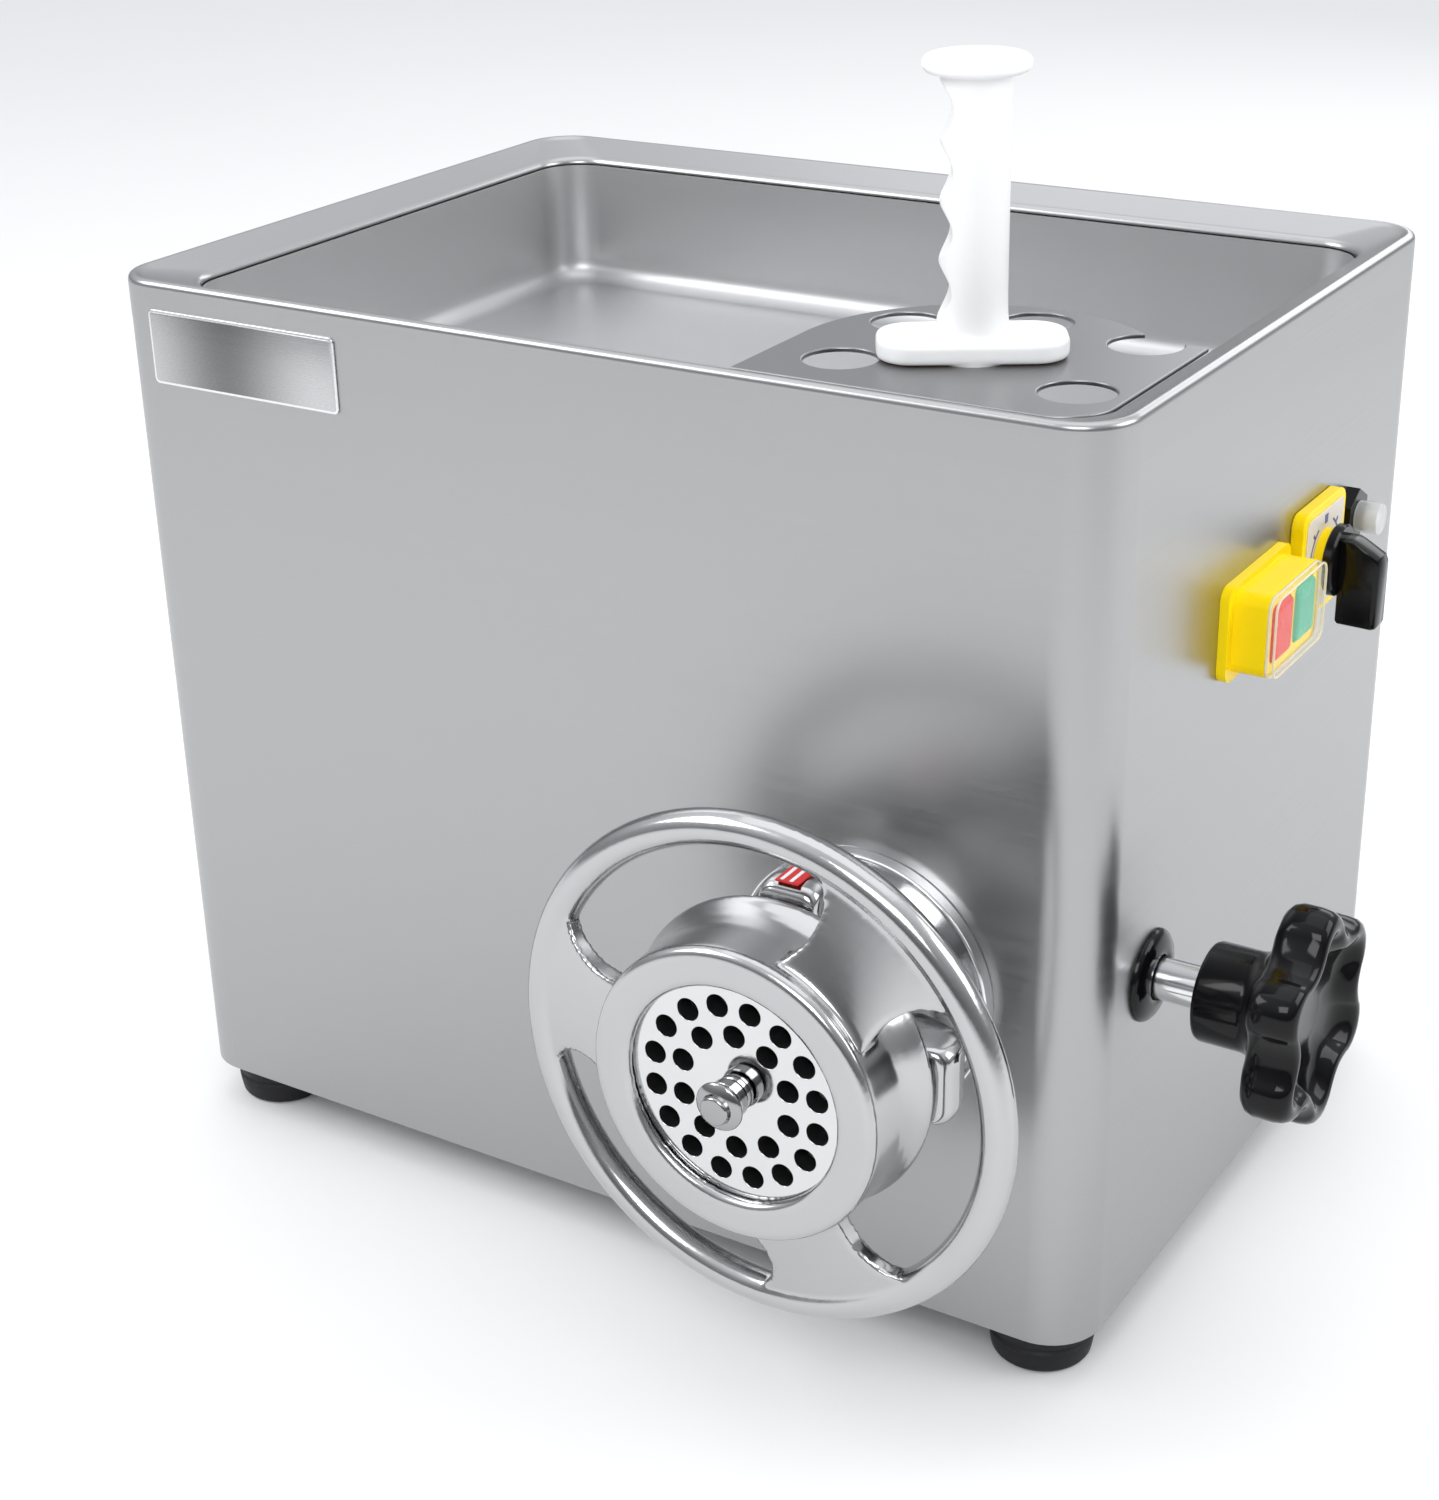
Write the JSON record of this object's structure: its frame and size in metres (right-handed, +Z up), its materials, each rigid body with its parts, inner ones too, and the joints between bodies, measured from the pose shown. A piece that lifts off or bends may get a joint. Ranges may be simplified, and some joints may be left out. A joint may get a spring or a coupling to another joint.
{
  "type": "electric meat grinder",
  "caption": "Box-type stainless steel electric meat grinder with open feed tray, pusher, screw-clamped grinding head with handwheel ring nut, and side controls.",
  "frame": {"origin": "bottom centre of the box around the whole machine, on the surface it stands on", "axes": "+X towards the clamp knob and controls, -Y the way the grinding head points, +Z up"},
  "size_m": [0.552, 0.457, 0.525],
  "materials": {
    "satin_steel": "satin, fine brushed grain",
    "bright_steel": "bright polished",
    "polished_casting": "polished casting",
    "fasteners": "zinc bright",
    "cast_aluminium": "as cast",
    "bronze": "machined",
    "machined_steel": "ground, oiled",
    "core_steel": "stamped laminations",
    "copper_windings": "enamelled wire",
    "painted_motor": "satin paint",
    "black_rubber": "matt",
    "black_plastic": "gloss",
    "badge_silver": "satin with a dark border",
    "red_paint": "gloss",
    "white_plastic": "smooth food-grade plastic",
    "light_plastic": "smooth",
    "yellow_plastic": "gloss",
    "label_white": "printed film",
    "red_plastic": "gloss",
    "green_plastic": "gloss",
    "clear_cover": "clear flexible plastic",
    "clear_boot": "translucent rubber"
  },
  "bodies": {
    "housing": {"casing": "satin_steel", "top_tray": "satin_steel", "base_plate": "satin_steel", "back_panel": "satin_steel", "back_panel_screws": "fasteners", "nameplate": "badge_silver", "rubber_feet": "black_rubber", "foot_screws": "fasteners", "guard_plate": "satin_steel", "throat_tube": "satin_steel", "head_socket": "cast_aluminium", "socket_screws": "fasteners", "front_flange": "bright_steel", "locating_pin": "bright_steel", "clamp_bush": "bronze", "shaft_grommet": "black_rubber", "stator_core": "core_steel", "stator_windings": "copper_windings", "motor_shell": "painted_motor", "motor_end_bell": "cast_aluminium", "fan_cowl": "painted_motor", "gearbox_case": "cast_aluminium", "gearbox_cover": "cast_aluminium", "gearbox_screws": "fasteners", "bearings": "machined_steel", "capacitor": "light_plastic", "cable_gland": "black_plastic", "gland_nut": "black_plastic", "switch_base": "yellow_plastic", "switch_contacts": "black_plastic", "switch_cover": "clear_cover", "selector_plate": "yellow_plastic", "selector_label": "label_white", "selector_switch": "black_plastic", "reset_switch": "black_plastic", "reset_boot": "clear_boot"},
    "pusher": {"pusher": "white_plastic"},
    "clamp_screw": {"clamp_shaft": "bright_steel"},
    "clamp_knob": {"clamp_knob": "black_plastic"},
    "barrel": {"barrel": "polished_casting", "barrel_mark": "red_paint", "plate_key": "bright_steel", "perforated_plate": "bright_steel"},
    "auger": {"auger": "polished_casting", "auger_stud": "bright_steel", "stud_cap": "bright_steel", "knife": "bright_steel"},
    "ring_nut": {"ring_nut": "polished_casting"},
    "handwheel": {"handwheel": "polished_casting"},
    "output_drive": {"output_shaft": "machined_steel", "output_gear": "machined_steel"},
    "lay_drive": {"lay_shaft": "machined_steel", "lay_gear": "machined_steel"},
    "motor_rotor": {"motor_shaft": "machined_steel", "rotor_core": "core_steel", "cooling_fan": "black_plastic"},
    "off_button": {"off_button": "red_plastic"},
    "on_button": {"on_button": "green_plastic"},
    "selector_handle": {"selector_handle": "black_plastic"},
    "reset_plunger": {"reset_plunger": "white_plastic"}
  },
  "joints": [
    {"name": "pusher_lift", "type": "slide", "parent": "housing", "child": "pusher", "axis": [0, 0, 1], "range_m": [0, 0.2]},
    {"name": "clamp_travel", "type": "slide", "parent": "housing", "child": "clamp_screw", "axis": [1, 0, 0], "range_m": [0, 0.00525]},
    {"name": "clamp_turn", "type": "hinge", "parent": "clamp_screw", "child": "clamp_knob", "pos_m": [0.201, -0.0545, 0.174], "axis": [1, 0, 0], "range_deg": [0, 1080]},
    {"name": "head_slide", "type": "slide", "parent": "housing", "child": "barrel", "axis": [0, -1, 0], "range_m": [0, 0.2]},
    {"name": "ring_nut_travel", "type": "slide", "parent": "barrel", "child": "ring_nut", "axis": [0, -1, 0], "range_m": [0, 0.024]},
    {"name": "ring_nut_turn", "type": "hinge", "parent": "ring_nut", "child": "handwheel", "pos_m": [0.103, -0.1935, 0.174], "axis": [0, -1, 0], "range_deg": [0, 2160]},
    {"name": "output_spin", "type": "hinge", "parent": "housing", "child": "output_drive", "pos_m": [0.103, 0.06, 0.174], "axis": [0, 1, 0], "continuous": true},
    {"name": "auger_spin", "type": "hinge", "parent": "barrel", "child": "auger", "pos_m": [0.103, -0.1115, 0.174], "axis": [0, 1, 0], "continuous": true},
    {"name": "lay_spin", "type": "hinge", "parent": "housing", "child": "lay_drive", "pos_m": [0.00928, 0.06, 0.14535], "axis": [0, 1, 0], "continuous": true},
    {"name": "motor_spin", "type": "hinge", "parent": "housing", "child": "motor_rotor", "pos_m": [-0.06556, 0.06, 0.10721], "axis": [0, 1, 0], "continuous": true},
    {"name": "off_press", "type": "slide", "parent": "housing", "child": "off_button", "axis": [-1, 0, 0], "range_m": [0, 0.0025], "stiffness_N_per_m": 600},
    {"name": "on_press", "type": "slide", "parent": "housing", "child": "on_button", "axis": [-1, 0, 0], "range_m": [0, 0.0025], "stiffness_N_per_m": 600},
    {"name": "reset_press", "type": "slide", "parent": "housing", "child": "reset_plunger", "axis": [-1, 0, 0], "range_m": [0, 0.0015], "stiffness_N_per_m": 600},
    {"name": "selector_turn", "type": "hinge", "parent": "housing", "child": "selector_handle", "pos_m": [0.201, 0.099, 0.303], "axis": [1, 0, 0], "range_deg": [-45, 45]}
  ],
  "couplings": [
    {"joint": "clamp_travel", "follows": "clamp_turn", "m_per_rad": 0.00027852},
    {"joint": "ring_nut_travel", "follows": "ring_nut_turn", "m_per_rad": 0.00063662},
    {"joint": "auger_spin", "follows": "output_spin", "ratio": 1},
    {"joint": "lay_spin", "follows": "output_spin", "ratio": -3},
    {"joint": "motor_spin", "follows": "output_spin", "ratio": 9}
  ]
}
